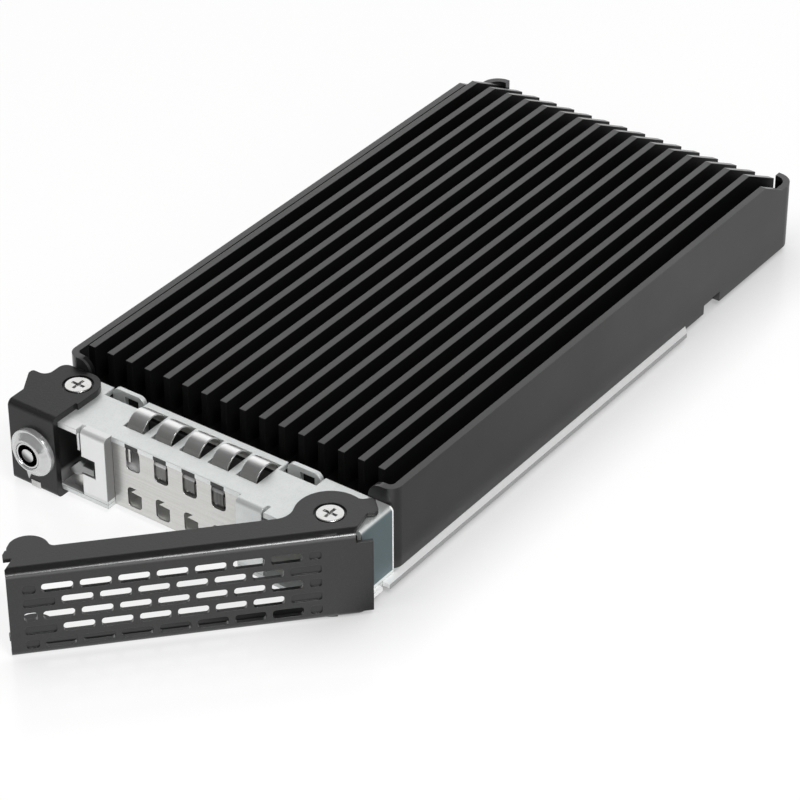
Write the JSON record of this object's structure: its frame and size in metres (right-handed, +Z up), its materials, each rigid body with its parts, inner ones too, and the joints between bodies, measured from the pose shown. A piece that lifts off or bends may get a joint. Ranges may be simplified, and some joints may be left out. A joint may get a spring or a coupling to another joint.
{
  "type": "internal drive enclosure",
  "caption": "Slim hot-swap drive enclosure: black finned aluminium shell on a steel tray, with a key lock and a slotted swing handle at the front.",
  "frame": {"origin": "on the tray's underside, in the middle, below the shell's front face", "axes": "+X to the handle's pivot side, +Y from the lock end to the connector end, +Z up through the fins"},
  "size_m": [0.0753, 0.1819, 0.0182],
  "materials": {
    "black_anodised": "black anodised, satin",
    "zinc_steel": "zinc plated, satin",
    "spring_steel": "bright spring steel",
    "screw_steel": "nickel plated",
    "bright_chrome": "polished",
    "black_powder_coat": "fine textured powder coat",
    "black_plastic": "moulded",
    "white_plastic": "moulded",
    "circuit_board": "green solder mask",
    "contact_gold": "gold plated",
    "soft_pad": "soft silicone"
  },
  "bodies": {
    "tray": {"heatsink_shell": "black_anodised", "bottom_cover": "black_anodised", "cover_screws": "screw_steel", "thermal_pad": "soft_pad", "adapter_board": "circuit_board", "board_screws": "screw_steel", "board_chips": "black_plastic", "card_socket": "black_plastic", "card_standoff": "contact_gold", "card_screw": "screw_steel", "rear_connector": "black_plastic", "connector_contacts": "contact_gold", "tray_floor": "zinc_steel", "tray_screws": "screw_steel", "front_housing": "zinc_steel", "vent_strip": "spring_steel", "lock_cover": "black_powder_coat", "lock_cover_screws": "screw_steel", "lock_nuts": "screw_steel", "lock_barrel": "bright_chrome", "lock_block": "black_plastic", "lock_clip": "spring_steel", "pivot_post": "zinc_steel", "pivot_screws": "screw_steel", "pivot_washers": "white_plastic", "handle_spring": "spring_steel"},
    "swing_handle": {"handle": "black_powder_coat", "handle_catch": "zinc_steel"},
    "key_plug": {"lock_plug": "bright_chrome", "lock_cam": "zinc_steel", "cam_screw": "screw_steel"},
    "bolt": {"lock_bolt": "bright_chrome"}
  },
  "joints": [
    {"name": "handle_swing", "type": "hinge", "parent": "tray", "child": "swing_handle", "pos_m": [0.02852, -0.0087, 0.007], "axis": [0, 0, 1], "range_deg": [-46.9, 5], "stiffness_Nm_per_rad": 0.02},
    {"name": "key_turn", "type": "hinge", "parent": "tray", "child": "key_plug", "pos_m": [-0.03002, -0.0087, 0.00695], "axis": [0, -1, 0], "range_deg": [0, 90]},
    {"name": "bolt_lift", "type": "slide", "parent": "tray", "child": "bolt", "axis": [0, 0, 1], "range_m": [0, 0.00141]}
  ],
  "couplings": [
    {"joint": "key_turn", "follows": "bolt_lift", "rad_per_m": 1110}
  ]
}
